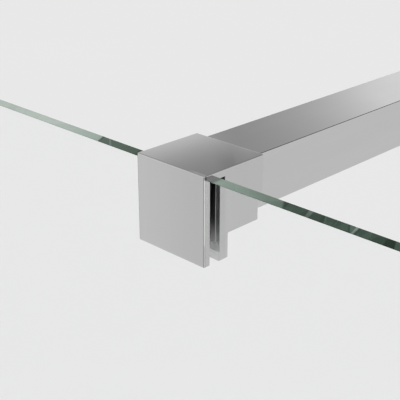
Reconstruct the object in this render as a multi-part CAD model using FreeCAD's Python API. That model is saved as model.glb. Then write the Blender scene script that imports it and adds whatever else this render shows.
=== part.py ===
"""Fixed shower screen: a glass panel in a wall profile, braced by a bar and a glass clamp.

Frame: the origin is on the back face of the wall channel, at tray level, in the middle plane of
the glass. +X runs along the glass away from its wall, +Y along the bar towards the second wall,
+Z up. All sizes are in millimetres. The solids are shown with the profile in mid-adjustment.
"""
import FreeCAD, Part
import math
import os

from FreeCAD import Vector

# Glass panel
GLASS_THICKNESS = 6.0
GLASS_HEIGHT = 1944.0
PANEL_REACH = 900.0  # from the wall to the free edge of the glass
GLASS_ARRIS = 0.2  # flat ground on the long edges
GLASS_CORNER = 6.0  # radius of the upper free corner

# Wall channel, the outer extrusion that is screwed to the wall
CHANNEL_WALL = 1.6
SLIDE_CLEARANCE = 0.3  # between the two extrusions, on each side
ADJUSTMENT = 10.0  # travel of the inner profile each way from the middle
WALL_SCREW_ROOM = 4.0  # depth kept free for the heads of the wall screws
WALL_HOLE_RADIUS = 2.5
WALL_HOLE_COUNT = 4
WALL_HOLE_INSET = 150.0  # from each end of the channel to its first hole

# Glazing profile, the inner extrusion that holds the glass
PROFILE_WALL = 1.5
SCREW_CHAMBER = 10.0
POCKET_DEPTH = 23.0
GLAZING_GAP = 2.5  # room for a gasket on each face of the glass
EDGE_BLOCK = 2.0  # thickness of the blocks behind the edge of the glass
EDGE_BLOCK_HEIGHT = 80.0
EDGE_BLOCK_CLEARANCE = 0.5
EDGE_BLOCK_COUNT = 3
EDGE_BLOCK_INSET = 120.0
GASKET_STEM = 16.0
GASKET_LIP = 1.5
GASKET_LIP_OVERHANG = 0.8  # how far the lip stands proud of the profile's side

# Screws that lock the two extrusions, hidden under a clip-in strip
LOCK_SCREW_COUNT = 3
LOCK_SCREW_INSET = 250.0
LOCK_SCREW_SETBACK = 3.0  # from the inside of the profile's back wall
LOCK_SHANK_RADIUS = 2.0
LOCK_SHANK_LENGTH = 7.0
LOCK_HEAD_RADIUS = 3.5
LOCK_HEAD_HEIGHT = 2.4
LOCK_HEAD_GAP = 0.1  # between the head and the flange that it clamps
SLOT_CLEARANCE = 0.3  # around the shank in its slot
THREAD_CLEARANCE = 0.05  # on the radius, between a screw and its tapped hole
STRIP_WALL = 1.2
STRIP_ROOM = 3.2  # inner height of the strip above the flange
STRIP_SIDE_ROOM = 1.0  # between the strip and a screw head at the end of its travel
STRIP_GROOVE = 0.6  # depth of the grooves that the strip clips into
STRIP_GROOVE_CLEARANCE = 0.1
FLANGE_LIP = 1.2  # flange left in front of the strip

# Top cap of the wall channel
CAP_PLATE = 2.0
CAP_CLEARANCE = 1.0  # above the glass, which slides under the cap
CAP_TONGUE = 3.0
CAP_TONGUE_LENGTH = 12.0
CAP_TONGUE_CLEARANCE = 0.15

# Bottom seal, pushed on to the lower edge of the glass
SEAL_BASE = 5.0
SEAL_LEG = 1.5
SEAL_GRIP = 10.0
SEAL_FOOT_SPREAD = 1.5  # how far each foot flares past its leg
SEAL_FOOT_HEIGHT = 3.5
SEAL_END_GAP = 1.0  # from the lip of the glazing gaskets

# Glass clamp, one casting with a slot for the glass and a sleeve for the bar
CLAMP_FROM_FREE_EDGE = 200.0
FRONT_JAW = 3.35
REAR_JAW = 5.25
CLAMP_CAP = 3.2  # metal above the slot
GLASS_TOP_GAP = 0.9
JAW_DROP = 11.5  # how far the jaws reach below the sleeve
SLEEVE_LENGTH = 18.85
SLEEVE_SIDE = 3.85
SLEEVE_ROOF = 1.2
SLEEVE_FLOOR = 2.6
CLAMP_EDGE_ROUND = 0.5
FRONT_PAD = 1.75
REAR_PAD = 1.2
PAD_INSET = 1.3  # from the sides of the clamp
PAD_MARGIN = 9.0  # from the lower end of the jaws
PLATE_WIDTH = 30.0
PLATE_HEIGHT = 20.0
PLATE_THICKNESS = 1.2
PLATE_CLEARANCE = 0.2
GRUB_RADIUS = 3.0
GRUB_SPACING = 18.0
GRUB_SOCKET = 3.0  # across the flats
GRUB_SOCKET_DEPTH = 1.8

# Bracing bar, a rectangular tube
BAR_REACH = 900.0  # from the middle of the glass to the second wall
BAR_WIDTH = 32.0
BAR_HEIGHT = 25.5
BAR_WALL = 1.5
BAR_EDGE_ROUND = 0.3
BAR_CLEARANCE = 0.15  # in the sleeve, on each side
BAR_STOP_GAP = 0.3  # from the end of the bar to the rear jaw
BAR_SCREW_RADIUS = 2.5
BAR_SCREW_SOCKET = 2.5
BAR_SCREW_SOCKET_DEPTH = 1.4
BAR_SCREW_RECESS = 0.2
BAR_SCREW_TIP_GAP = 0.05

# Wall bracket of the bar: a plate with a spigot inside the tube, and a cover over the plate
BRACKET_PLATE = 4.0
BRACKET_BORDER = 4.0  # plate above and below the bar
BRACKET_HOLE_RADIUS = 2.6
BRACKET_HOLE_OFFSET = 7.0  # from the side of the bar to a hole, and on to the end of the plate
BRACKET_COUNTERSINK = 2.2
BAR_END_GAP = 1.0
SPIGOT_LENGTH = 30.0
SPIGOT_WALL = 3.0
SPIGOT_CLEARANCE = 0.2
SPIGOT_SCREW_SETBACK = 18.0  # from the face of the plate
COVER_WALL = 1.5
COVER_DEPTH = 12.0
COVER_CLEARANCE = 0.5  # around the plate
COVER_WINDOW_CLEARANCE = 0.3  # around the bar
COVER_EDGE_ROUND = 1.0

# Levels and half widths of the glass and the two extrusions
glass_bottom = SEAL_BASE
glass_top = glass_bottom + GLASS_HEIGHT
glass_face = GLASS_THICKNESS / 2
channel_height = glass_top + CAP_CLEARANCE
pocket_half = glass_face + GLAZING_GAP
profile_half = pocket_half + PROFILE_WALL
channel_inner_half = profile_half + SLIDE_CLEARANCE
channel_half = channel_inner_half + CHANNEL_WALL

# Places along X, from the wall outwards
profile_back = CHANNEL_WALL + WALL_SCREW_ROOM + ADJUSTMENT
lock_screw_x = profile_back + PROFILE_WALL + LOCK_SCREW_SETBACK
chamber_front = profile_back + PROFILE_WALL + SCREW_CHAMBER
pocket_back = chamber_front + PROFILE_WALL
glass_edge = pocket_back + EDGE_BLOCK
profile_front = pocket_back + POCKET_DEPTH
head_reach = ADJUSTMENT + LOCK_HEAD_RADIUS + STRIP_SIDE_ROOM
strip_back = lock_screw_x - head_reach - STRIP_WALL
strip_front = lock_screw_x + head_reach + STRIP_WALL
channel_depth = strip_front + FLANGE_LIP
seal_start = profile_front + GASKET_LIP + SEAL_END_GAP
clamp_x = PANEL_REACH - CLAMP_FROM_FREE_EDGE

# Places of the clamp along Y and Z
slot_front = -glass_face - FRONT_PAD
slot_back = glass_face + REAR_PAD
clamp_front = slot_front - FRONT_JAW
rear_jaw_back = slot_back + REAR_JAW
sleeve_end = rear_jaw_back + SLEEVE_LENGTH
slot_ceiling = glass_top + GLASS_TOP_GAP
clamp_top = slot_ceiling + CLAMP_CAP
bore_half = BAR_WIDTH / 2 + BAR_CLEARANCE
clamp_half = bore_half + SLEEVE_SIDE
bar_top = clamp_top - SLEEVE_ROOF - BAR_CLEARANCE
bar_bottom = bar_top - BAR_HEIGHT
bar_middle = (bar_top + bar_bottom) / 2
sleeve_bottom = bar_bottom - BAR_CLEARANCE - SLEEVE_FLOOR
jaw_bottom = sleeve_bottom - JAW_DROP
plate_back = slot_back + PLATE_THICKNESS
bar_screw_y = rear_jaw_back + SLEEVE_LENGTH / 2

# Places of the bar and its wall bracket along Y
bar_start = rear_jaw_back + BAR_STOP_GAP
bracket_face = BAR_REACH - BRACKET_PLATE
bar_end = bracket_face - BAR_END_GAP
bracket_hole_x = BAR_WIDTH / 2 + BRACKET_HOLE_OFFSET
bracket_half = bracket_hole_x + BRACKET_HOLE_OFFSET
spigot_screw_y = bracket_face - SPIGOT_SCREW_SETBACK
spigot_half = BAR_WIDTH / 2 - BAR_WALL - SPIGOT_CLEARANCE
spigot_half_height = BAR_HEIGHT / 2 - BAR_WALL - SPIGOT_CLEARANCE


def block(x, y, z):
    """Return a box from three (low, high) pairs."""
    low = Vector(x[0], y[0], z[0])
    return Part.makeBox(x[1] - x[0], y[1] - y[0], z[1] - z[0], low)


def prism(points, path):
    """Return the closed polygon through the points, carried straight along the path."""
    return Part.Face(Part.makePolygon(points + points[:1])).extrude(path)


def upright(section, low, high):
    """Return an (x, y) section extruded from one level to another."""
    points = [Vector(x, y, low) for x, y in section]
    return prism(points, Vector(0, 0, high - low))


def lengthwise(section, start, end):
    """Return a (y, z) section extruded along X."""
    points = [Vector(start, y, z) for y, z in section]
    return prism(points, Vector(end - start, 0, 0))


def runs_along(edge, axis):
    """Say whether an edge is straight and parallel to an axis."""
    if edge.Curve.TypeId != "Part::GeomLine":
        return False
    return abs(edge.Curve.Direction.dot(axis)) > 0.999


def spread(count, inset, length):
    """Return evenly spaced places along a length, the first and last at the inset."""
    step = (length - 2 * inset) / (count - 1)
    return [inset + step * index for index in range(count)]


def hexagon_rod(across_flats, start, path):
    """Return a hexagonal rod that begins at a point and follows the path."""
    reach = across_flats / math.sqrt(3)
    side = Vector(1, 0, 0) * reach
    turn = FreeCAD.Rotation(path, 60)
    points = []
    for _ in range(6):
        points.append(start + side)
        side = turn.multVec(side)
    return prism(points, path)


def grub_screw(radius, start, path, socket, socket_depth):
    """Return a socket set screw with its tip at the start and its socket at the far end."""
    body = Part.makeCylinder(radius, path.Length, start, path)
    inward = Vector(path).normalize() * -socket_depth
    return body.cut(hexagon_rod(socket, start + path, inward))


def wall_channel():
    """U extrusion with wall holes in its web, slots in one flange and grooves for the strip."""
    shape = block((0, channel_depth), (-channel_half, channel_half), (0, channel_height))
    hollow = block(
        (CHANNEL_WALL, channel_depth), (-channel_inner_half, channel_inner_half), (0, channel_height)
    )
    cuts = [hollow]
    for level in spread(WALL_HOLE_COUNT, WALL_HOLE_INSET, channel_height):
        cuts.append(Part.makeCylinder(WALL_HOLE_RADIUS, CHANNEL_WALL, Vector(0, 0, level), Vector(1, 0, 0)))
    slot_radius = LOCK_SHANK_RADIUS + SLOT_CLEARANCE
    for level in spread(LOCK_SCREW_COUNT, LOCK_SCREW_INSET, channel_height):
        cuts.append(
            block(
                (lock_screw_x - ADJUSTMENT, lock_screw_x + ADJUSTMENT),
                (channel_inner_half, channel_half),
                (level - slot_radius, level + slot_radius),
            )
        )
        for end in (lock_screw_x - ADJUSTMENT, lock_screw_x + ADJUSTMENT):
            place = Vector(end, channel_inner_half, level)
            cuts.append(Part.makeCylinder(slot_radius, CHANNEL_WALL, place, Vector(0, 1, 0)))
    for leg in (strip_back, strip_front - STRIP_WALL):
        cuts.append(
            block(
                (leg - STRIP_GROOVE_CLEARANCE, leg + STRIP_WALL + STRIP_GROOVE_CLEARANCE),
                (channel_half - STRIP_GROOVE, channel_half),
                (0, channel_height),
            )
        )
    return shape.cut(cuts)


def cover_strip():
    """Shallow C strip whose two legs clip into the grooves of the wall channel."""
    foot = channel_half - STRIP_GROOVE
    inside = channel_half + STRIP_ROOM
    outside = inside + STRIP_WALL
    section = [
        (strip_back, foot),
        (strip_back, outside),
        (strip_front, outside),
        (strip_front, foot),
        (strip_front - STRIP_WALL, foot),
        (strip_front - STRIP_WALL, inside),
        (strip_back + STRIP_WALL, inside),
        (strip_back + STRIP_WALL, foot),
    ]
    return upright(section, 0, channel_height)


def channel_top_cap():
    """Plate over the channel and its strip, with a tongue behind the glazing profile."""
    levels = (channel_height, channel_height + CAP_PLATE)
    plate = block((0, channel_depth), (-channel_half, channel_half), levels)
    over_strip = block(
        (strip_back, strip_front), (0, channel_half + STRIP_ROOM + STRIP_WALL), levels
    )
    back = CHANNEL_WALL + CAP_TONGUE_CLEARANCE
    half = channel_inner_half - CAP_TONGUE_CLEARANCE
    tongue = block(
        (back, back + CAP_TONGUE), (-half, half), (channel_height - CAP_TONGUE_LENGTH, channel_height)
    )
    return plate.fuse([over_strip, tongue]).removeSplitter()


def glazing_profile():
    """Extrusion with a closed chamber for the locking screws and an open pocket for the glass."""
    levels = (glass_bottom, glass_top)
    shape = block((profile_back, profile_front), (-profile_half, profile_half), levels)
    pocket = block((pocket_back, profile_front), (-pocket_half, pocket_half), levels)
    chamber = block((profile_back + PROFILE_WALL, chamber_front), (-pocket_half, pocket_half), levels)
    cuts = [pocket, chamber]
    for level in spread(LOCK_SCREW_COUNT, LOCK_SCREW_INSET, channel_height):
        place = Vector(lock_screw_x, pocket_half, level)
        cuts.append(Part.makeCylinder(LOCK_SHANK_RADIUS, PROFILE_WALL, place, Vector(0, 1, 0)))
    return shape.cut(cuts)


def lock_screws():
    """Pan head screws that clamp the flange of the wall channel to the glazing profile."""
    screws = []
    head_seat = channel_half + LOCK_HEAD_GAP
    for level in spread(LOCK_SCREW_COUNT, LOCK_SCREW_INSET, channel_height):
        place = Vector(lock_screw_x, head_seat, level)
        head = Part.makeCylinder(LOCK_HEAD_RADIUS, LOCK_HEAD_HEIGHT, place, Vector(0, 1, 0))
        rim = [edge for edge in head.Edges if edge.BoundBox.YMin > head_seat + LOCK_HEAD_HEIGHT / 2]
        head = head.makeFillet(LOCK_HEAD_HEIGHT / 2, rim)
        radius = LOCK_SHANK_RADIUS - THREAD_CLEARANCE
        shank = Part.makeCylinder(radius, LOCK_SHANK_LENGTH, place, Vector(0, -1, 0))
        screws.append(head.fuse(shank).removeSplitter())
    return Part.makeCompound(screws)


def edge_blocks():
    """Blocks that stand between the profile's web and the edge of the glass."""
    half = pocket_half - EDGE_BLOCK_CLEARANCE
    blocks = []
    for level in spread(EDGE_BLOCK_COUNT, EDGE_BLOCK_INSET, GLASS_HEIGHT):
        middle = glass_bottom + level
        levels = (middle - EDGE_BLOCK_HEIGHT / 2, middle + EDGE_BLOCK_HEIGHT / 2)
        blocks.append(block((pocket_back, glass_edge), (-half, half), levels))
    return Part.makeCompound(blocks)


def glazing_gasket(side):
    """Strip pressed between the glass and the profile, with a lip over the profile's front."""
    stem_back = profile_front - GASKET_STEM
    lip_front = profile_front + GASKET_LIP
    lip_edge = profile_half + GASKET_LIP_OVERHANG
    section = [
        (stem_back, glass_face),
        (lip_front, glass_face),
        (profile_front, lip_edge),
        (profile_front, pocket_half),
        (stem_back, pocket_half),
    ]
    return upright([(x, side * y) for x, y in section], glass_bottom, glass_top)


def glass_panel():
    """Toughened pane with ground edges and one rounded upper corner."""
    shape = block((glass_edge, PANEL_REACH), (-glass_face, glass_face), (glass_bottom, glass_top))
    across = Vector(0, 1, 0)
    corner = [
        edge
        for edge in shape.Edges
        if runs_along(edge, across)
        and edge.CenterOfMass.x > clamp_x
        and edge.CenterOfMass.z > GLASS_HEIGHT / 2
    ]
    shape = shape.makeFillet(GLASS_CORNER, corner)
    outline = [edge for edge in shape.Edges if not runs_along(edge, across)]
    return shape.makeChamfer(GLASS_ARRIS, outline)


def bottom_seal():
    """U strip on the lower edge of the glass, with a base that flares out on the tray."""
    leg = glass_face + SEAL_LEG
    foot = leg + SEAL_FOOT_SPREAD
    grip_top = glass_bottom + SEAL_GRIP
    right = [(foot, 0), (leg, SEAL_FOOT_HEIGHT), (leg, grip_top), (glass_face, grip_top), (glass_face, SEAL_BASE)]
    left = [(-y, z) for y, z in reversed(right)]
    return lengthwise(right + left, seal_start, PANEL_REACH)


def clamp_body():
    """Casting with a front jaw, a cap, a rear jaw and a sleeve, rounded on its outer edges."""
    section = [
        (clamp_front, clamp_top),
        (sleeve_end, clamp_top),
        (sleeve_end, sleeve_bottom),
        (rear_jaw_back, sleeve_bottom),
        (rear_jaw_back, jaw_bottom),
        (clamp_front, jaw_bottom),
    ]
    sides = (clamp_x - clamp_half, clamp_x + clamp_half)
    outer = lengthwise(section, *sides)
    outer = outer.makeFillet(CLAMP_EDGE_ROUND, outer.Edges)
    slot = block(sides, (slot_front, slot_back), (jaw_bottom, slot_ceiling))
    bore = block(
        (clamp_x - bore_half, clamp_x + bore_half),
        (rear_jaw_back, sleeve_end),
        (bar_bottom - BAR_CLEARANCE, bar_top + BAR_CLEARANCE),
    )
    recess_half = PLATE_WIDTH / 2 + PLATE_CLEARANCE
    recess_half_height = PLATE_HEIGHT / 2 + PLATE_CLEARANCE
    recess = block(
        (clamp_x - recess_half, clamp_x + recess_half),
        (slot_back, plate_back),
        (bar_middle - recess_half_height, bar_middle + recess_half_height),
    )
    cuts = [slot, bore, recess]
    for place in grub_places():
        cuts.append(Part.makeCylinder(GRUB_RADIUS, rear_jaw_back - plate_back, place, Vector(0, 1, 0)))
    floor_hole = Vector(clamp_x, bar_screw_y, sleeve_bottom)
    cuts.append(Part.makeCylinder(BAR_SCREW_RADIUS, SLEEVE_FLOOR, floor_hole, Vector(0, 0, 1)))
    return outer.cut(cuts)


def grub_places():
    """Return where the tips of the two clamping screws meet the pressure plate."""
    half = GRUB_SPACING / 2
    return [Vector(clamp_x + offset, plate_back, bar_middle) for offset in (-half, half)]


def clamp_pad(faces):
    """Rubber sheet between a jaw and the glass, which ends above the lower end of the jaw."""
    half = clamp_half - PAD_INSET
    return block((clamp_x - half, clamp_x + half), faces, (jaw_bottom + PAD_MARGIN, slot_ceiling))


def clamp_pressure_plate():
    """Steel plate in the rear jaw that spreads the force of the clamping screws."""
    half = PLATE_WIDTH / 2
    half_height = PLATE_HEIGHT / 2
    return block(
        (clamp_x - half, clamp_x + half),
        (slot_back, plate_back),
        (bar_middle - half_height, bar_middle + half_height),
    )


def clamp_grub_screws():
    """Two set screws in the rear jaw, reached through the sleeve before the bar goes in."""
    radius = GRUB_RADIUS - THREAD_CLEARANCE
    path = Vector(0, rear_jaw_back - plate_back, 0)
    screws = [grub_screw(radius, place, path, GRUB_SOCKET, GRUB_SOCKET_DEPTH) for place in grub_places()]
    return Part.makeCompound(screws)


def bar_lock_screw():
    """Set screw in the sleeve's floor that holds the bar."""
    tip = Vector(clamp_x, bar_screw_y, bar_bottom - BAR_SCREW_TIP_GAP)
    path = Vector(0, 0, sleeve_bottom + BAR_SCREW_RECESS - tip.z)
    radius = BAR_SCREW_RADIUS - THREAD_CLEARANCE
    return grub_screw(radius, tip, path, BAR_SCREW_SOCKET, BAR_SCREW_SOCKET_DEPTH)


def bar_tube():
    """Rectangular tube from the clamp's sleeve to the wall bracket."""
    half = BAR_WIDTH / 2
    length = (bar_start, bar_end)
    outer = block((clamp_x - half, clamp_x + half), length, (bar_bottom, bar_top))
    long_edges = [edge for edge in outer.Edges if runs_along(edge, Vector(0, 1, 0))]
    outer = outer.makeFillet(BAR_EDGE_ROUND, long_edges)
    inner_half = half - BAR_WALL
    inner = block(
        (clamp_x - inner_half, clamp_x + inner_half), length, (bar_bottom + BAR_WALL, bar_top - BAR_WALL)
    )
    place = Vector(clamp_x, spigot_screw_y, bar_bottom)
    hole = Part.makeCylinder(BAR_SCREW_RADIUS, BAR_WALL, place, Vector(0, 0, 1))
    return outer.cut([inner, hole])


def wall_plate():
    """Plate with two countersunk holes and a hollow spigot that fits inside the bar."""
    plate = block(
        (clamp_x - bracket_half, clamp_x + bracket_half),
        (bracket_face, BAR_REACH),
        (bar_bottom - BRACKET_BORDER, bar_top + BRACKET_BORDER),
    )
    spigot = spigot_block(0, bracket_face)
    hollow = spigot_block(SPIGOT_WALL, bracket_face)
    shape = plate.fuse(spigot).removeSplitter()
    cuts = [hollow]
    for side in (-1, 1):
        place = Vector(clamp_x + side * bracket_hole_x, bracket_face, bar_middle)
        cuts.append(Part.makeCylinder(BRACKET_HOLE_RADIUS, BRACKET_PLATE, place, Vector(0, 1, 0)))
        head_radius = BRACKET_HOLE_RADIUS + BRACKET_COUNTERSINK
        cuts.append(
            Part.makeCone(head_radius, BRACKET_HOLE_RADIUS, BRACKET_COUNTERSINK, place, Vector(0, 1, 0))
        )
    low = bar_middle - spigot_half_height
    screw = Part.makeCylinder(
        BAR_SCREW_RADIUS, SPIGOT_WALL, Vector(clamp_x, spigot_screw_y, low), Vector(0, 0, 1)
    )
    return shape.cut(cuts + [screw])


def spigot_block(inset, end):
    """Return the spigot's outline, drawn in by the inset, from its free end to the given place."""
    half = spigot_half - inset
    half_height = spigot_half_height - inset
    return block(
        (clamp_x - half, clamp_x + half),
        (bracket_face - SPIGOT_LENGTH, end),
        (bar_middle - half_height, bar_middle + half_height),
    )


def spigot_lock_screw():
    """Set screw through the underside of the bar into the spigot."""
    tip = Vector(clamp_x, spigot_screw_y, bar_middle - spigot_half_height + SPIGOT_WALL)
    path = Vector(0, 0, bar_bottom + BAR_SCREW_RECESS - tip.z)
    radius = BAR_SCREW_RADIUS - THREAD_CLEARANCE
    return grub_screw(radius, tip, path, BAR_SCREW_SOCKET, BAR_SCREW_SOCKET_DEPTH)


def wall_cover():
    """Drawn cover that slides along the bar and hides the wall plate."""
    inner_half = bracket_half + COVER_CLEARANCE
    inner_low = bar_bottom - BRACKET_BORDER - COVER_CLEARANCE
    inner_high = bar_top + BRACKET_BORDER + COVER_CLEARANCE
    front = BAR_REACH - COVER_DEPTH
    outer = block(
        (clamp_x - inner_half - COVER_WALL, clamp_x + inner_half + COVER_WALL),
        (front, BAR_REACH),
        (inner_low - COVER_WALL, inner_high + COVER_WALL),
    )
    rounded = [edge for edge in outer.Edges if edge.BoundBox.YMin < BAR_REACH - COVER_DEPTH / 4]
    outer = outer.makeFillet(COVER_EDGE_ROUND, rounded)
    inner = block(
        (clamp_x - inner_half, clamp_x + inner_half), (front + COVER_WALL, BAR_REACH), (inner_low, inner_high)
    )
    window_half = BAR_WIDTH / 2 + COVER_WINDOW_CLEARANCE
    window = block(
        (clamp_x - window_half, clamp_x + window_half),
        (front, front + COVER_WALL),
        (bar_bottom - COVER_WINDOW_CLEARANCE, bar_top + COVER_WINDOW_CLEARANCE),
    )
    return outer.cut([inner, window])


parts = {
    "wall_channel": wall_channel(),
    "cover_strip": cover_strip(),
    "channel_top_cap": channel_top_cap(),
    "glazing_profile": glazing_profile(),
    "lock_screws": lock_screws(),
    "edge_blocks": edge_blocks(),
    "glazing_gasket_front": glazing_gasket(-1),
    "glazing_gasket_back": glazing_gasket(1),
    "glass_panel": glass_panel(),
    "bottom_seal": bottom_seal(),
    "clamp_body": clamp_body(),
    "clamp_front_pad": clamp_pad((slot_front, -glass_face)),
    "clamp_rear_pad": clamp_pad((glass_face, slot_back)),
    "clamp_pressure_plate": clamp_pressure_plate(),
    "clamp_grub_screws": clamp_grub_screws(),
    "bar_lock_screw": bar_lock_screw(),
    "bar_tube": bar_tube(),
    "wall_plate": wall_plate(),
    "spigot_lock_screw": spigot_lock_screw(),
    "wall_cover": wall_cover(),
}

os.makedirs("parts", exist_ok=True)
for name, shape in parts.items():
    shape.exportStep(os.path.join("parts", name + ".step"))
    print(name, len(shape.Solids), "solids", round(shape.Volume), "mm3")
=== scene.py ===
import math

import bpy
import numpy as np
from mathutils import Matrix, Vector


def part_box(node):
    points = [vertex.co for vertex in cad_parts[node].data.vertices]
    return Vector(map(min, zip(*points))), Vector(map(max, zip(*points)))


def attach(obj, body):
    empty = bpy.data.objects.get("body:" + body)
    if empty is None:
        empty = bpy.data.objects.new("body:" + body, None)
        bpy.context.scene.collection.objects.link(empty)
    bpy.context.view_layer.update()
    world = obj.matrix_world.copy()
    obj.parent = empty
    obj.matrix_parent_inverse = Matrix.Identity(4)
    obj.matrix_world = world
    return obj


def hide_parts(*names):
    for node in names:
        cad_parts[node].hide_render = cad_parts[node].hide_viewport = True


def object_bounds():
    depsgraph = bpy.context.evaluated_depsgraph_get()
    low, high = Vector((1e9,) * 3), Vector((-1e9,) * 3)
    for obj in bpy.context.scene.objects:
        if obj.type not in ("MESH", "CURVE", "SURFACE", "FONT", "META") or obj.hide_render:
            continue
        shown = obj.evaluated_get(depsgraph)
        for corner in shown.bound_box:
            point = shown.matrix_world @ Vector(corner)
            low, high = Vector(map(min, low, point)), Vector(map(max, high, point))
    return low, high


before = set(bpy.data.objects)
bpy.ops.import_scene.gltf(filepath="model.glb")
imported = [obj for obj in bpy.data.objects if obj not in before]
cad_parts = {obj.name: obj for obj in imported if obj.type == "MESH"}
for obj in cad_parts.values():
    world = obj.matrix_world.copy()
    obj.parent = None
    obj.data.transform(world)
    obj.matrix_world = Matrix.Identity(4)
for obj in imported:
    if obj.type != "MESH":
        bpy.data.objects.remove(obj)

cad_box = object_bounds()
MM = 0.001
MIX_FIRST, MIX_SECOND, MIX_RESULT = 6, 7, 2  # places of a Mix node's colour sockets

# Camera, fitted to the edges of the clamp, the bar and the glass
CAMERA_AZIMUTH = 44.43  # degrees
CAMERA_ELEVATION = 23.26
CAMERA_DISTANCE = 370.6 * MM
CAMERA_LENS = 80.9  # millimetres, like the sensor
SENSOR_WIDTH = 36.0
CLIP_NEAR = 0.01
CLIP_FAR = 200.0
AIM_FROM_CLAMP = Vector((13.08, 4.68, -13.54)) * MM  # from the middle of its upper front edge

# Studio
FLOOR_HOLE = 0.05  # radius of the innermost ring, which one face closes
FLOOR_RADIUS = 40.0
FLOOR_RINGS = 12
FLOOR_SPOKES = 48
FLOOR_TONE = 0.8
FLOOR_SPREAD = 0.005
SKY_FILL = 0.62  # plain level that lights the object
BACKDROP = 0.82  # what the camera sees above the floor
SKY_LOW = 0.95  # what polished metal mirrors near the horizon
SKY_HIGH = 0.343  # and high up
SKY_SPAN = 0.365  # added at the height where the fade starts
SKY_START = 0.2785  # sine of that height
SKY_FADE = 0.027  # how far it takes to fall to a third
SOFTBOX = Vector((-0.75, -0.45, 0.48)).normalized()  # direction of a bright panel, for metal only
SOFTBOX_EDGE = (0.8, 0.95)  # cosines of the angles where it starts and where it is full
SOFTBOX_LEVEL = 0.25
SUN_STRENGTH = 1.4
SUN_ANGLE = 40.0  # degrees
SUN_TILT = (25.0, 15.0, 0.0)  # degrees about each axis
CARD_DISTANCE = 2.7  # of a low bright card in front, for the clamp only
CARD_SIZE = (1.6, 1.4)
CARD_LEVEL = 1.15

# Grain: cells to a metre on each axis
CLOUDS = (35.0, 35.0, 35.0)
CAST_CLOUDS = (60.0, 60.0, 60.0)
CAST_LINES = (300.0, 300.0, 12.0)
TUBE_LINES = (300.0, 14.0, 300.0)
MOULD_CLOUDS = (25.0, 25.0, 25.0)
SHEET_GRAIN = (1500.0, 1500.0, 1500.0)
STRIP_LINES = (4.0, 300.0, 300.0)
WIPING_MARKS = (14.0, 14.0, 3.0)
EDGE_RUN = (9.0, 0.0, 9.0)
FLOOR_CLOUDS = (0.7, 0.7, 0.7)

# Chrome of the tube and the wall cover
CHROME_TONE = 0.588
CHROME_SPREAD = 0.012
CHROME_RIPPLE = 0.002 * MM

# Chrome of the clamp: heights that tilt the normals of its top, then its tones
CLAMP_SLOPE = 0.57 * MM  # up to the free side
CLAMP_ARCH = 0.19 * MM  # down to both sides
CLAMP_SKEW = 0.05 * MM  # more of it at the free side
CLAMP_HOLLOW = 0.045 * MM  # up to the front and the back
CLAMP_TURN = 0.0125  # slope of the corner that turns away
CLAMP_TURN_SPAN = (13.0 * MM, 22.0 * MM)
CLAMP_RIPPLE = 0.004 * MM
# Painted shade: the clamp's chrome is lighter at the wall side and darker at the free side
CLAMP_TONES = (0.62, 0.55)  # at the wall side and at the free side
CLAMP_LINES_SHARE = 0.25  # share of the polishing lines in the shade between them
# Painted light and shade: a grey level, then the distances that bound it, each with the millimetres
# where the shade starts and where it is full
CLAMP_PAINTED_LIGHT = (
    # Painted reflection: a dark band across the top
    (0.48, (
        ("to free corner", 4.0, 12.0),
        ("to free corner", 16.0, 13.0),
        ("to wall corner", 6.0, -14.0),
        ("below top", 0.1, 0.0),
    )),
    # Painted highlight: a light rim along the front of the top
    (0.74, (("behind front", 2.2, 1.4), ("past middle", 9.0, 15.0), ("below top", 0.1, 0.0))),
    # Painted shade at the lower end of the bright line down the front of the free side
    (0.44, (("from free side", 0.6, 0.4), ("above end", 11.0, 9.5), ("behind front", 0.9, 0.5))),
    # Painted reflection: a dark line down both upright edges of the front
    (0.12, (("from sides", 0.52, 0.42), ("behind front", 0.12, 0.06))),
    # Painted shade at the upper end of the bright line
    (0.26, (
        ("from free side", 0.6, 0.4),
        ("below top", 1.9, 1.6),
        ("below top", 0.2, 0.45),
        ("behind front", 1.8, 1.2),
    )),
)

# Chrome of the bar: heights that tilt the normals of its top, then the painted shade of its upper
# edges
BAR_HOLLOW = 0.097 * MM  # up to both sides
BAR_BOW = 0.0088  # slope away from the clamp
BAR_BOW_START = 40.0 * MM  # how far that slope takes to build up
BAR_TURN = 0.018  # slope next to the clamp
BAR_TURN_SPAN = (20.0 * MM, 0.0)
BAR_PAINTED_SHADE = ((0.2, (("from sides", 0.32, 0.26), ("below top", 0.25, 0.18))),)

# Rubber of the pads: grey levels on the faces and on the side edges
PAD_BASE = (0.036, 0.012)
# Painted light from below: the pads get paler towards their lower end
PAD_PAINTED_LIGHT = (0.45, 0.25)
PAD_PAINTED_LIGHT_SPAN = (14.7 * MM, 0.0)  # above the lower end
PAD_SIDE_SPAN = (0.1 * MM, 0.0)  # from the side edges
# Painted highlight line on the pads' side edges next to the glass
PAD_PAINTED_LINE_SPAN = (0.4 * MM, 0.0)  # from the side edges, for the line next to the glass
PAD_PAINTED_LINE_DEPTH = (3.25 * MM, 3.0 * MM)  # from the middle of the glass
PAD_RIPPLE = 0.01 * MM

# Clear strip
STRIP_TONES = ((0.88, 0.91, 0.90), (0.92, 0.94, 0.93))
STRIP_RIPPLE = 0.002 * MM

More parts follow.
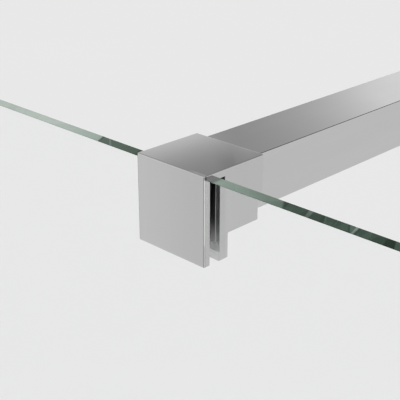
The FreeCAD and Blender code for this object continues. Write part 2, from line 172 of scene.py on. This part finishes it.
# Pane
PANE_AIR = 0.02 * MM  # drawn in from the faces that touch it
PANE_ARRIS = 0.2 * MM
PANE_CORNER = 6.0 * MM
CORNER_STEPS = 12
GLASS_FACE, GLASS_EDGE, GLASS_ARRIS = range(3)  # places of its finishes
GLASS_TONES = ((0.982, 0.992, 0.987), (0.99, 0.996, 0.993))
GLASS_MIRROR = 0.4  # strength of the straight-on reflection
GLASS_LAMPLIGHT = (0.95, 0.97, 0.96, 1.0)  # share of a lamp's light that goes through
MARKS_SPAN = (0.55, 0.9)
MARKS_HAZE = 0.015
GLASS_FADE = (1.2, 1.0, 1.12)  # how fast red, green and blue fade on their way through
EDGE_GLOW = 0.45  # share of the edge's brightness that the pane carries to it
EDGE_REACH = 120.0 * MM  # where the stretches near the clamp have given way to longer ones
EDGE_REACH_START = 105.0 * MM  # where they start to
EDGE_LEAN = 0.7
UPPER_EDGE_SPAN = (1.5 * MM, 1.0 * MM)  # below the top of the pane
# Painted reflections in light and dark stretches on the upper edge: millimetres from the middle of
# the clamp, and level
EDGE_STRETCHES = (
    (-118.0, 0.503),
    (-85.0, 0.463),
    (-54.2, 0.353),
    (-53.8, 0.128),
    (-30.0, 0.095),
    (20.5, 0.345),
    (26.0, 0.31),
    (54.0, 0.172),
    (54.5, 0.078),
    (57.0, 0.083),
    (96.0, 0.075),
)
# Painted glints and dark streaks on it: the left and the right border, each by its places on the
# front and the back side, in millimetres from the middle of the clamp, then level and share
EDGE_GLINTS = (
    ((-52.6, -55.6), (-51.3, -54.2), 0.07, 0.8),
    ((-44.3, -51.8), (-43.0, -50.5), 0.45, 0.2),
    ((-28.2, -30.2), (-20.0, -20.0), 0.05, 0.6),
    ((56.1, 52.6), (57.2, 54.8), 0.06, 0.7),
    ((57.2, 54.8), (60.5, 57.5), 0.1, 0.6),
    ((63.6, 64.4), (66.9, 64.4), 0.06, 0.7),
    ((66.9, 64.4), (68.5, 66.6), 0.45, 0.17),
    ((68.5, 66.6), (75.6, 72.0), 0.06, 0.7),
    ((73.6, 70.6), (75.2, 71.9), 0.04, 0.6),
    ((75.6, 72.2), (76.1, 72.7), 0.12, 0.6),
    ((78.6, 77.2), (79.4, 77.4), 0.05, 0.6),
    ((80.0, 78.4), (80.2, 81.4), 0.06, 0.7),
    ((86.2, 82.4), (87.2, 83.1), 0.045, 0.7),
    ((87.2, 83.1), (88.3, 87.0), 0.45, 0.08),
    ((87.6, 86.0), (88.6, 87.2), 0.45, 0.3),
    ((88.6, 87.2), (89.7, 88.4), 0.055, 0.8),
    ((91.9, 91.2), (94.6, 93.6), 0.105, 0.6),
    ((95.8, 96.2), (101.0, 99.2), 0.055, 0.8),
    ((101.0, 99.2), (105.7, 102.7), 0.034, 1.0),
    ((105.7, 102.7), (130.0, 127.0), 0.1, 1.0),
)
GLINT_BLUR = 0.15 * MM
# Painted reflections in longer stretches on all edges: levels, and where the noise goes from one to
# the other
FAR_LEVELS = (0.105, 0.46)
FAR_SPAN = (0.46, 0.54)
# Painted glints in fine slivers on all edges: how much they and their streaks lift the level, and
# how much more beyond the clamp
SLIVER_LIFT, SLIVER_LIFT_BEYOND = 0.07, 0.2
STREAK_LIFT, STREAK_LIFT_BEYOND = 0.08, 0.3
BEYOND_SPAN = (40.0 * MM, 60.0 * MM)  # from the middle of the clamp


class Wire:
    """A shader socket. Arithmetic on it adds Math nodes, and node() adds any other node."""

    def __init__(self, tree, socket=None):
        self.tree = tree
        self.socket = socket

    def node(self, kind, settings=None, inputs=None, output=0):
        """Add a node: first its settings, then a value or a link for each input that is named."""
        made = self.tree.nodes.new("ShaderNode" + kind)
        for name, value in (settings or {}).items():
            if name == "stops":
                fill_ramp(made.color_ramp, value)
            else:
                setattr(made, name, value)
        for name, value in (inputs or {}).items():
            if isinstance(value, Wire):
                self.tree.links.new(value.socket, made.inputs[name])
            else:
                made.inputs[name].default_value = value
        return Wire(self.tree, made.outputs[output] if made.outputs else None)

    def math(self, operation, *values):
        """Add a Math node for one or two values."""
        return self.node("Math", {"operation": operation}, dict(enumerate(values)))

    def __add__(self, other):
        return self.math("ADD", self, other)

    __radd__ = __add__

    def __sub__(self, other):
        return self.math("SUBTRACT", self, other)

    def __rsub__(self, other):
        return self.math("SUBTRACT", other, self)

    def __mul__(self, other):
        return self.math("MULTIPLY", self, other)

    __rmul__ = __mul__

    def __truediv__(self, other):
        return self.math("DIVIDE", self, other)

    def __rtruediv__(self, other):
        return self.math("DIVIDE", other, self)

    def __pow__(self, other):
        return self.math("POWER", self, other)

    def __rpow__(self, other):
        return self.math("POWER", other, self)

    def __abs__(self):
        return self.math("ABSOLUTE", self)


def fill_ramp(ramp, stops):
    """Set a colour ramp to the given (place, colour) stops."""
    while len(ramp.elements) > 1:
        ramp.elements.remove(ramp.elements[-1])
    ramp.elements[0].position = stops[0][0]
    for place, _ in stops[1:]:
        ramp.elements.new(place)
    for element, (_, colour) in zip(ramp.elements, stops):
        element.color = (*colour, 1.0)


def grey(level):
    """Return a grey colour."""
    return (level, level, level)


def close_tones(tone, spread):
    """Return a colour made darker, and made lighter, by the same step."""
    return [tuple(value + step for value in tone) for step in (-spread, spread)]


def new_material(name):
    """Return a material and a wire into its empty node tree."""
    material = bpy.data.materials.new(name)
    material.use_nodes = True
    material.node_tree.nodes.clear()
    return material, Wire(material.node_tree)


def axes(wire):
    """Return the X, Y and Z wires of the piece's own coordinates, in metres."""
    place = wire.node("TexCoord", output="Object")
    split = wire.node("SeparateXYZ", inputs={0: place})
    return [Wire(wire.tree, output) for output in split.socket.node.outputs]


def diagonals(x, y):
    """Return how far a place lies midway between +X and +Y, and midway between -X and +Y."""
    return (x + y) * math.sqrt(0.5), (y - x) * math.sqrt(0.5)


def ease(value, start, full):
    """Return a wire that eases from 0 to 1 as a value goes from start to full, up or down."""
    return value.node(
        "MapRange",
        {"interpolation_type": "SMOOTHSTEP"},
        {"Value": value, "From Min": start, "From Max": full},
    )


def uneven(noise, level, spread):
    """Return a level that rises by up to the spread where the noise is high."""
    return noise * spread + level


def blend(factor, first, second):
    """Return a colour between two colours."""
    first, second = [c if isinstance(c, Wire) else (*c, 1.0) for c in (first, second)]
    return factor.node(
        "Mix",
        {"data_type": "RGBA"},
        {"Factor": factor, MIX_FIRST: first, MIX_SECOND: second},
        output=MIX_RESULT,
    )


def scaled(colour, factor):
    """Return a colour times a level."""
    return colour.node("VectorMath", {"operation": "SCALE"}, {0: colour, "Scale": factor})


def shaded(colour, distances, shades):
    """Return a colour with painted grey shades and highlights over it, each eased in by the
    distances that bound it.
    """
    for level, bounds in shades:
        masks = [ease(distances[name], start * MM, full * MM) for name, start, full in bounds]
        colour = blend(math.prod(masks), colour, grey(level))
    return colour


def grain(wire, stretch, detail=2.0):
    """Return noise on the piece's own coordinates, with so many cells to a metre on each axis."""
    place = wire.node("TexCoord", output="Object")
    cells = wire.node("Mapping", inputs={"Vector": place, "Scale": stretch})
    return wire.node("TexNoise", inputs={"Vector": cells, "Scale": 1.0, "Detail": detail})


def bump(wire, height):
    """Return a normal from a height in metres."""
    return wire.node("Bump", inputs={"Strength": 1.0, "Distance": 1.0, "Height": height})


def show(wire, shader):
    """Link a shader to the output of its material."""
    wire.node("OutputMaterial", inputs={"Surface": shader})


def metal(name, tone, spread, stretch, roughness, haze, ripple):
    """Metal whose tone and gloss follow its polishing or drawing lines, with a slight ripple."""
    material, wire = new_material(name)
    lines = grain(wire, stretch)
    clouds = grain(wire, CLOUDS)
    shader = wire.node(
        "BsdfPrincipled",
        inputs={
            "Base Color": blend(lines, *close_tones(tone, spread)),
            "Metallic": 1.0,
            "Roughness": uneven(clouds, level=roughness, spread=haze),
            "Normal": bump(wire, (lines + clouds) * ripple),
        },
    )
    show(wire, shader)
    return material


def clamp_chrome():
    """Polished chrome on a casting whose top is very slightly crowned, with painted shade and
    highlights at its edges and painted shade towards its free side.

    The crown is a slope and a skewed arch along X, plus a hollow along Y, less one turned corner.
    """
    material, wire = new_material("polished_chrome_casting")
    low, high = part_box("clamp_body")
    centre = (low + high) / 2
    half = high - centre
    x, y, z = axes(wire)
    along = (x - centre.x) / half.x
    across = (y - centre.y) / half.y
    to_free_corner, to_wall_corner = diagonals(x - centre.x, y - centre.y)
    arch = along * along * (-CLAMP_ARCH - along * CLAMP_SKEW)
    crown = along * CLAMP_SLOPE + arch + across * across * CLAMP_HOLLOW
    crown = crown - ease(to_free_corner, *CLAMP_TURN_SPAN) * to_wall_corner * CLAMP_TURN
    lines = grain(wire, CAST_LINES)
    clouds = grain(wire, CAST_CLOUDS)
    # Painted shade, darker towards the free side, with polishing lines in it
    shade = ease(along, -1.0, 1.0) * (1 - CLAMP_LINES_SHARE) + lines * CLAMP_LINES_SHARE
    distances = {
        "to free corner": to_free_corner,
        "to wall corner": to_wall_corner,
        "past middle": x - centre.x,
        "from free side": high.x - x,
        "from sides": half.x - abs(x - centre.x),
        "behind front": y - low.y,
        "below top": high.z - z,
        "above end": z - low.z,
    }
    shader = wire.node(
        "BsdfPrincipled",
        inputs={
            "Base Color": shaded(blend(shade, *map(grey, CLAMP_TONES)), distances, CLAMP_PAINTED_LIGHT),
            "Metallic": 1.0,
            "Roughness": uneven(clouds, level=0.05, spread=0.04),
            "Normal": bump(wire, crown + clouds * CLAMP_RIPPLE),
        },
    )
    show(wire, shader)
    return material


def bar_chrome():
    """Polished chrome on a drawn tube whose top is very slightly hollow and bowed, with painted
    shade on its upper edges.

    Behind the clamp the bow builds up to an even slope along Y, and next to it the top is turned.
    """
    material, wire = new_material("polished_chrome_tube")
    low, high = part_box("bar_tube")
    clamp_low, clamp_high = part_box("clamp_body")
    clamp_centre = (clamp_low + clamp_high) / 2
    middle = (low.x + high.x) / 2
    half = (high.x - low.x) / 2
    x, y, z = axes(wire)
    across = (x - middle) / half
    hollow = across * across * BAR_HOLLOW
    past = y - clamp_high.y
    bow = (past + math.e ** (past / -BAR_BOW_START) * BAR_BOW_START) * -BAR_BOW
    to_free_corner, to_wall_corner = diagonals(x - clamp_centre.x, y - clamp_centre.y)
    bow = bow - ease(to_free_corner, *BAR_TURN_SPAN) * to_wall_corner * BAR_TURN
    lines = grain(wire, TUBE_LINES)
    clouds = grain(wire, CLOUDS)
    tone = blend(lines, *close_tones(grey(CHROME_TONE), CHROME_SPREAD))
    distances = {"from sides": half - abs(x - middle), "below top": high.z - z}
    shader = wire.node(
        "BsdfPrincipled",
        inputs={
            "Base Color": shaded(tone, distances, BAR_PAINTED_SHADE),
            "Metallic": 1.0,
            "Roughness": uneven(clouds, level=0.05, spread=0.05),
            "Normal": bump(wire, hollow + bow + (lines + clouds) * CHROME_RIPPLE),
        },
    )
    show(wire, shader)
    return material


def moulded(name, dark, light, roughness, stretch, relief):
    """Moulded rubber or plastic: two close tones in clouds, and a fine grain in the surface."""
    material, wire = new_material(name)
    fine = grain(wire, stretch)
    clouds = grain(wire, MOULD_CLOUDS)
    shader = wire.node(
        "BsdfPrincipled",
        inputs={
            "Base Color": blend(clouds, dark, light),
            "Roughness": uneven(fine, level=roughness, spread=0.15),
            "Normal": bump(wire, fine * relief),
        },
    )
    show(wire, shader)
    return material


def pad_rubber(name, painted_line_tone):
    """Black rubber sheet, with painted light from below at its lower end and a painted highlight
    line on its side edges at the glass.
    """
    material, wire = new_material(name)
    low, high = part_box(name)
    x, y, z = axes(wire)
    from_sides = (high.x - low.x) / 2 - abs(x - (low.x + high.x) / 2)
    side = ease(from_sides, *PAD_SIDE_SPAN)
    # Painted light from below, towards the lower end
    painted_light_mask = ease(z - low.z, *PAD_PAINTED_LIGHT_SPAN)
    # Painted highlight line on the side edges next to the glass
    line = ease(from_sides, *PAD_PAINTED_LINE_SPAN) * ease(abs(y), *PAD_PAINTED_LINE_DEPTH)
    fine = grain(wire, SHEET_GRAIN)
    base_tone = blend(side, *map(grey, PAD_BASE))
    painted_light_tone = blend(side, *map(grey, PAD_PAINTED_LIGHT))
    tone = blend(painted_light_mask * painted_light_mask, base_tone, painted_light_tone)
    shader = wire.node(
        "BsdfPrincipled",
        inputs={
            "Base Color": blend(line, tone, grey(painted_line_tone)),
            "Roughness": uneven(fine, level=0.45, spread=0.15),
            "Specular IOR Level": 0.1,
            "Normal": bump(wire, fine * PAD_RIPPLE),
        },
    )
    show(wire, shader)
    return material


def clear_strip():
    """Clear flexible strip, slightly milky, with fine lines along it."""
    material, wire = new_material("clear_seal_strip")
    lines = grain(wire, STRIP_LINES)
    shader = wire.node(
        "BsdfPrincipled",
        inputs={
            "Base Color": blend(lines, *STRIP_TONES),
            "Roughness": uneven(lines, level=0.22, spread=0.1),
            "Transmission Weight": 0.6,
            "IOR": 1.4,
            "Normal": bump(wire, lines * STRIP_RIPPLE),
        },
    )
    show(wire, shader)
    return material


def pane_clear():
    """Clear glass with faint wiping marks, which lets lamps through to what is behind."""
    material, wire = new_material("clear_toughened_glass")
    marks = grain(wire, WIPING_MARKS)
    glass = wire.node(
        "BsdfPrincipled",
        inputs={
            "Base Color": blend(marks, *GLASS_TONES),
            "Roughness": ease(marks, *MARKS_SPAN) * MARKS_HAZE,
            "Transmission Weight": 1.0,
            "IOR": 1.5,
            "Specular Tint": (*grey(GLASS_MIRROR), 1.0),
        },
    )
    through = wire.node("BsdfTransparent", inputs={"Color": GLASS_LAMPLIGHT})
    lamp = wire.node("LightPath", output="Is Shadow Ray")
    show(wire, wire.node("MixShader", inputs={0: lamp, 1: glass, 2: through}))
    return material


def glass_tint(level):
    """Return the green of light at this level: the further it came through glass, the greener."""
    return tuple(level ** fade for fade in GLASS_FADE)


def glint_between(along, depth, left, right):
    """Return 1 between two straight borders, each given by its front and its back place."""
    from_left, from_right = [
        along - depth * ((back - front) * MM) - front * MM for front, back in (left, right)
    ]
    past_left = ease(from_left, -GLINT_BLUR, GLINT_BLUR)
    return past_left * ease(from_right, GLINT_BLUR, -GLINT_BLUR)


def slivers(wire, lean, width, streak):
    """Return painted glints in fine slivers along the edge of the glass: a level for each, and
    streaks between them.

    They are one-dimensional cells on x plus a lean times y, plus z on the upright edges.
    """
    x, y, z = axes(wire)
    line = {"voronoi_dimensions": "1D"}
    place = {"W": (x + y * lean + z) / width, "Scale": 1.0}
    colour = wire.node("TexVoronoi", line, place, output="Color")
    level = wire.node("SeparateColor", inputs={"Color": colour})
    border = wire.node("TexVoronoi", {**line, "feature": "DISTANCE_TO_EDGE"}, place)
    return level, ease(border, streak, 0.0) * level


def pane_edge(name, level, roughness):
    """Edge of the glass: green, with painted reflections in light and dark stretches and slanted
    glints.

    Part of it glows, for the light that the pane carries to its edges.
    """
    material, wire = new_material(name)
    low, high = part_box("clamp_body")
    pane_low, pane_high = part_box("glass_panel")
    x, y, z = axes(wire)
    along = x - (low.x + high.x) / 2
    depth = (y - pane_low.y) / (pane_high.y - pane_low.y)
    # Painted reflections: stretches and glints on the upper edge near the clamp
    slant = along + y * EDGE_LEAN
    span = 2 * EDGE_REACH
    stops = [(0.5 + place * MM / span, glass_tint(tone)) for place, tone in EDGE_STRETCHES]
    near = wire.node("ValToRGB", {"stops": stops}, {"Fac": slant / span + 0.5})
    for left, right, tone, share in EDGE_GLINTS:
        near = blend(glint_between(along, depth, left, right) * share, near, glass_tint(tone))
    # Painted reflections in longer stretches further along all edges
    run = grain(wire, EDGE_RUN, detail=1.0)
    far = blend(ease(run, *FAR_SPAN), *map(glass_tint, FAR_LEVELS))
    within_reach = ease(slant * slant, EDGE_REACH ** 2, EDGE_REACH_START ** 2)
    is_near = ease(pane_high.z - z, *UPPER_EDGE_SPAN) * within_reach
    colour = blend(is_near, far, near)
    # Painted reflection: polished metal mirrors the edge as grey
    mirrored = wire.node("LightPath", output="Is Glossy Ray")
    colour = blend(mirrored, colour, wire.node("RGBToBW", inputs={"Color": colour}))
    # Painted glints in fine slivers, stronger beyond the clamp
    first, first_streak = slivers(wire, lean=0.8, width=6.5 * MM, streak=0.05)
    second, second_streak = slivers(wire, lean=-1.3, width=9.0 * MM, streak=0.04)
    beyond = ease(along, *BEYOND_SPAN) * is_near
    streaks = (first_streak + second_streak) * uneven(beyond, STREAK_LIFT, STREAK_LIFT_BEYOND)
    lift = (first + second - 1) * uneven(beyond, SLIVER_LIFT, SLIVER_LIFT_BEYOND) + streaks + 1
    shader = wire.node(
        "BsdfPrincipled",
        inputs={
            "Base Color": scaled(colour, lift * (level * (1 - EDGE_GLOW))),
            "Roughness": uneven(run, level=roughness, spread=0.1),
            "Specular IOR Level": 0.05,
            "Emission Color": scaled(colour, lift * (level * EDGE_GLOW)),
            "Emission Strength": 1.0,
        },
    )
    show(wire, shader)
    return material


def put_mesh(name, points, faces, materials, face_materials=None):
    """Make an object at the origin from an array of points and a list of faces."""
    mesh = bpy.data.meshes.new(name)
    mesh.from_pydata(points.reshape(-1, 3).tolist(), [], faces)
    for material in materials:
        mesh.materials.append(material)
    if face_materials is not None:
        mesh.polygons.foreach_set("material_index", face_materials)
    mesh.validate()
    mesh.update()
    made = bpy.data.objects.new(name, mesh)
    bpy.context.scene.collection.objects.link(made)
    return made


def pane_outline(low, high, inset):
    """Return the pane's outline in (x, z), drawn in by the inset: three square corners and an arc.

    The arc runs through a quarter turn about the centre of the rounded upper free corner.
    """
    turn = np.linspace(0.0, math.pi / 2, CORNER_STEPS + 1)
    radius = PANE_CORNER - inset
    arc_x = high.x - PANE_CORNER + radius * np.cos(turn)
    arc_z = high.z - PANE_CORNER + radius * np.sin(turn)
    x = np.concatenate([[low.x + inset, high.x - inset], arc_x, [low.x + inset]])
    z = np.concatenate([[low.z + inset, low.z + inset], arc_z, [high.z - inset]])
    return x, z


def clear_pane():
    """Pane as its edge profile carried round its outline, closed by one face on each side.

    The profile goes from the front face over an arris, across the edge and over the other arris.
    """
    low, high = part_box("glass_panel")
    low = low + Vector((0, PANE_AIR, 0))
    high = high - Vector((0, PANE_AIR, 0))
    profile = [
        (PANE_ARRIS, low.y),
        (0.0, low.y + PANE_ARRIS),
        (0.0, high.y - PANE_ARRIS),
        (PANE_ARRIS, high.y),
    ]
    rings = []
    for inset, level in profile:
        x, z = pane_outline(low, high, inset)
        rings.append(np.stack([x, np.full_like(x, level), z], axis=1))
    points = np.stack(rings)
    count = points.shape[1]
    step = np.arange(count)
    after = np.roll(step, -1)
    last_ring = (len(profile) - 1) * count
    faces = [step.tolist(), (last_ring + step[::-1]).tolist()]
    kinds = [GLASS_FACE, GLASS_FACE]
    for ring, kind in enumerate((GLASS_ARRIS, GLASS_EDGE, GLASS_ARRIS)):
        near = ring * count
        far = near + count
        strip = np.stack([near + after, near + step, far + step, far + after], axis=1)
        faces += strip.tolist()
        kinds += [kind] * count
    materials = [
        pane_clear(),
        pane_edge("polished_glass_edge", level=1.0, roughness=0.12),
        pane_edge("ground_glass_arris", level=0.8, roughness=0.4),
    ]
    return put_mesh("clear_pane", points, faces, materials, kinds)


def studio_floor():
    """Round floor at the level the screen stands on, as a grid in radius and angle.

    A point lies at its radius times the cosine and the sine of its angle.
    """
    shape = (FLOOR_RINGS, FLOOR_SPOKES)
    radius = np.linspace(FLOOR_HOLE, FLOOR_RADIUS, FLOOR_RINGS)[:, None]
    angle = np.linspace(0, 2 * math.pi, FLOOR_SPOKES, endpoint=False)[None, :]
    level = np.full(shape, cad_box[0].z)
    points = np.stack([radius * np.cos(angle), radius * np.sin(angle), level], axis=2)
    index = np.arange(FLOOR_RINGS * FLOOR_SPOKES).reshape(shape)
    beside = np.roll(index, -1, axis=1)
    grid = np.stack([index[:-1], index[1:], beside[1:], beside[:-1]], axis=2)
    faces = grid.reshape(-1, 4).tolist()
    faces.append(index[0].tolist())
    material, wire = new_material("pale_floor")
    tone = blend(grain(wire, FLOOR_CLOUDS), *close_tones(grey(FLOOR_TONE), FLOOR_SPREAD))
    show(wire, wire.node("BsdfDiffuse", inputs={"Color": tone}))
    floor = put_mesh("studio_floor", points, faces, [material])


def studio_sky():
    """Plain sky: even light, a plain backdrop for the camera, and a fade for polished metal."""
    world = bpy.data.worlds.new("studio_sky")
    bpy.context.scene.world = world
    world.use_nodes = True
    world.node_tree.nodes.clear()
    wire = Wire(world.node_tree)
    direction = wire.node("TexCoord", output="Generated")
    height = wire.node("SeparateXYZ", inputs={0: direction}, output="Z")
    fade = math.e ** ((SKY_START - height) / SKY_FADE)
    facing = wire.node(
        "VectorMath", {"operation": "DOT_PRODUCT"}, {0: direction, 1: SOFTBOX}, output="Value"
    )
    softbox = ease(facing, *SOFTBOX_EDGE) * SOFTBOX_LEVEL
    mirrored = wire.math("MINIMUM", fade * SKY_SPAN + SKY_HIGH, SKY_LOW) + softbox
    glossy, camera, through = [
        wire.node("LightPath", output=f"Is {kind} Ray")
        for kind in ("Glossy", "Camera", "Transmission")
    ]
    lit = SKY_FILL + (mirrored - SKY_FILL) * glossy
    level = lit + (BACKDROP - lit) * wire.math("MAXIMUM", camera, through)
    background = wire.node("Background", inputs={"Color": (*grey(1.0), 1.0), "Strength": level})
    wire.node("OutputWorld", inputs={"Surface": background})


def studio_sun():
    """One broad lamp, high in front of the screen."""
    lamp = bpy.data.lights.new("studio_sun", "SUN")
    lamp.energy = SUN_STRENGTH
    lamp.angle = math.radians(SUN_ANGLE)
    sun = bpy.data.objects.new("studio_sun", lamp)
    sun.rotation_euler = [math.radians(angle) for angle in SUN_TILT]
    bpy.context.scene.collection.objects.link(sun)


def toward(azimuth, elevation):
    """Return the direction from the screen to a viewer at these angles."""
    turn = math.radians(azimuth)
    climb = math.radians(elevation)
    reach = math.cos(climb)
    return Vector((math.sin(turn) * reach, -math.cos(turn) * reach, math.sin(climb)))


def studio_card():
    """Low bright card in front, which only the clamp mirrors, as a line along its edges."""
    low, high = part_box("clamp_body")
    back = toward(CAMERA_AZIMUTH, -CAMERA_ELEVATION)
    lamp = bpy.data.lights.new("studio_card", "AREA")
    lamp.shape = "RECTANGLE"
    lamp.size, lamp.size_y = CARD_SIZE
    lamp.energy = CARD_LEVEL * math.pi * math.prod(CARD_SIZE)
    card = bpy.data.objects.new("studio_card", lamp)
    card.location = (low + high) / 2 + back * CARD_DISTANCE
    card.rotation_mode = "QUATERNION"
    card.rotation_quaternion = back.to_track_quat("Z", "Y")
    card.visible_camera = False
    card.visible_diffuse = False
    card.visible_transmission = False
    mirrors = bpy.data.collections.new("card_mirrors")
    mirrors.objects.link(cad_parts["clamp_body"])
    card.light_linking.receiver_collection = mirrors
    bpy.context.scene.collection.objects.link(card)


def studio_camera():
    """Camera on a line from its aim point, at the fitted turn, height and distance."""
    back = toward(CAMERA_AZIMUTH, CAMERA_ELEVATION)
    low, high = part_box("clamp_body")
    aim = Vector(((low.x + high.x) / 2, low.y, high.z)) + AIM_FROM_CLAMP
    lens = bpy.data.cameras.new("studio_camera")
    lens.sensor_width = SENSOR_WIDTH
    lens.lens = CAMERA_LENS
    lens.clip_start = CLIP_NEAR
    lens.clip_end = CLIP_FAR
    camera = bpy.data.objects.new("studio_camera", lens)
    camera.location = aim + back * CAMERA_DISTANCE
    camera.rotation_mode = "QUATERNION"
    camera.rotation_quaternion = back.to_track_quat("Z", "Y")
    bpy.context.scene.collection.objects.link(camera)
    bpy.context.scene.camera = camera


def dress(material, *nodes):
    """Give a finish to CAD nodes."""
    for name in nodes:
        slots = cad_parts[name].data.materials
        slots.clear()
        slots.append(material)


chrome = metal(
    "polished_chrome", grey(CHROME_TONE), spread=CHROME_SPREAD, stretch=TUBE_LINES,
    roughness=0.05, haze=0.05, ripple=CHROME_RIPPLE,
)
aluminium = metal(
    "bright_aluminium", (0.63, 0.635, 0.64), spread=0.03, stretch=(900.0, 900.0, 5.0),
    roughness=0.16, haze=0.12, ripple=0.004 * MM,
)
plated = metal(
    "plated_plastic", grey(0.6), spread=0.02, stretch=(250.0, 250.0, 250.0),
    roughness=0.1, haze=0.08, ripple=0.01 * MM,
)
steel = metal(
    "stainless_steel", (0.52, 0.51, 0.50), spread=0.04, stretch=(700.0, 700.0, 700.0),
    roughness=0.25, haze=0.15, ripple=0.006 * MM,
)
casting = metal(
    "cast_zinc", (0.40, 0.405, 0.415), spread=0.05, stretch=(1100.0, 1100.0, 1100.0),
    roughness=0.42, haze=0.15, ripple=0.03 * MM,
)
gasket = moulded(
    "gasket_rubber", dark=grey(0.02), light=grey(0.035),
    roughness=0.45, stretch=(900.0, 900.0, 10.0), relief=0.02 * MM,
)
nylon = moulded(
    "natural_nylon", dark=(0.70, 0.69, 0.65), light=(0.76, 0.75, 0.71),
    roughness=0.4, stretch=(800.0, 800.0, 800.0), relief=0.01 * MM,
)

dress(clamp_chrome(), "clamp_body")
dress(bar_chrome(), "bar_tube")
dress(chrome, "wall_cover")
dress(aluminium, "wall_channel", "cover_strip", "glazing_profile")
dress(plated, "channel_top_cap")
dress(steel, "lock_screws", "clamp_pressure_plate", "clamp_grub_screws")
dress(steel, "bar_lock_screw", "spigot_lock_screw")
dress(casting, "wall_plate")
# Painted highlight line: dark on the front pad, light on the rear one
dress(pad_rubber("clamp_front_pad", painted_line_tone=0.02), "clamp_front_pad")
dress(pad_rubber("clamp_rear_pad", painted_line_tone=0.63), "clamp_rear_pad")
dress(gasket, "glazing_gasket_front", "glazing_gasket_back")
dress(nylon, "edge_blocks")
dress(clear_strip(), "bottom_seal")

pane = clear_pane()
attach(pane, "panel")
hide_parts("glass_panel")

studio_floor()
studio_sky()
studio_sun()
studio_card()
studio_camera()
bpy.context.scene.view_settings.view_transform = "Standard"
